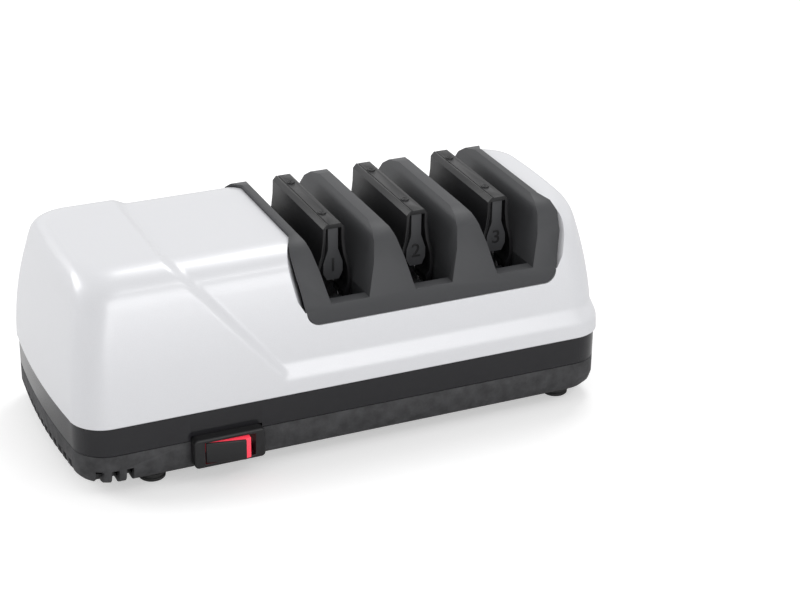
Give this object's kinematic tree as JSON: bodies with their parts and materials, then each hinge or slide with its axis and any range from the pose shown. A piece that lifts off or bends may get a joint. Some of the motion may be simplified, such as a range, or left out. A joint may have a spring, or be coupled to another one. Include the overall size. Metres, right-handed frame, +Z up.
{
  "type": "electric knife sharpener",
  "caption": "Bench-top electric knife sharpener: silver cover, dark base, sprung blade guides over motor-driven abrasive discs, side rocker switch.",
  "frame": {"origin": "centre of the footprint, on the plane of the feet", "axes": "+X along the body from the motor end to the tower end, +Y from front to back, +Z up"},
  "size_m": [0.254, 0.1288, 0.0987],
  "materials": {
    "cover_shell": "satin pearl silver",
    "band_gloss": "polished",
    "tray_plastic": "textured",
    "module_plastic": "fine grained",
    "guide_plastic": "satin",
    "switch_black": "satin",
    "rocker_black": "satin",
    "rocker_red": "glossy",
    "inner_plastic": "moulded",
    "shaft_steel": "ground",
    "screw_steel": "zinc plated",
    "lamination_steel": "stacked sheet",
    "coil_wrap": "tape wrapped",
    "bracket_alloy": "cast",
    "bush_bronze": "sintered",
    "magnet_ferrite": "sintered",
    "abrasive_disc": "diamond grit on steel",
    "foot_rubber": "matte"
  },
  "bodies": {
    "housing": {"base_band": "band_gloss", "base_tray": "tray_plastic", "bearing_bracket_left": "bracket_alloy", "bearing_bracket_right": "bracket_alloy", "bearing_bush_left": "bush_bronze", "bearing_bush_right": "bush_bronze", "cord_gland": "foot_rubber", "cover_screws": "screw_steel", "dust_magnet": "magnet_ferrite", "dust_partition": "inner_plastic", "end_bearing_bush": "bush_bronze", "end_bearing_stand": "inner_plastic", "foot_screws": "screw_steel", "guide_post_1": "module_plastic", "guide_post_2": "module_plastic", "guide_post_3": "module_plastic", "guide_screws": "guide_plastic", "guide_spring_1": "guide_plastic", "guide_spring_2": "guide_plastic", "guide_spring_3": "guide_plastic", "motor_bolts": "screw_steel", "rubber_foot_1": "foot_rubber", "rubber_foot_2": "foot_rubber", "rubber_foot_3": "foot_rubber", "rubber_foot_4": "foot_rubber", "stage_module": "module_plastic", "stator_coil": "coil_wrap", "stator_core": "lamination_steel", "switch_bezel": "switch_black", "switch_body": "inner_plastic", "top_cover": "cover_shell"},
    "drive_line": {"drive_shaft": "shaft_steel", "rotor_core": "lamination_steel", "cooling_fan": "inner_plastic", "sharpening_disc_1_left": "abrasive_disc", "sharpening_disc_1_right": "abrasive_disc", "disc_spring_1": "screw_steel", "sharpening_disc_2_left": "abrasive_disc", "sharpening_disc_2_right": "abrasive_disc", "disc_spring_2": "screw_steel", "sharpening_disc_3_left": "abrasive_disc", "sharpening_disc_3_right": "abrasive_disc", "disc_spring_3": "screw_steel"},
    "rocker": {"rocker_cap": "rocker_black", "rocker_body": "rocker_red"},
    "cleanout_lid": {"cleanout_cover": "tray_plastic"}
  },
  "joints": [
    {"name": "drive_spin", "type": "hinge", "parent": "housing", "child": "drive_line", "pos_m": [0, 0, 0.046], "axis": [1, 0, 0], "continuous": true},
    {"name": "switch_rock", "type": "hinge", "parent": "housing", "child": "rocker", "pos_m": [-0.0601, -0.056, 0.0159], "axis": [0, 0, 1], "range_deg": [0, 24]},
    {"name": "cleanout_release", "type": "slide", "parent": "housing", "child": "cleanout_lid", "axis": [0, 0, -1], "range_m": [0, 0.0045]}
  ]
}
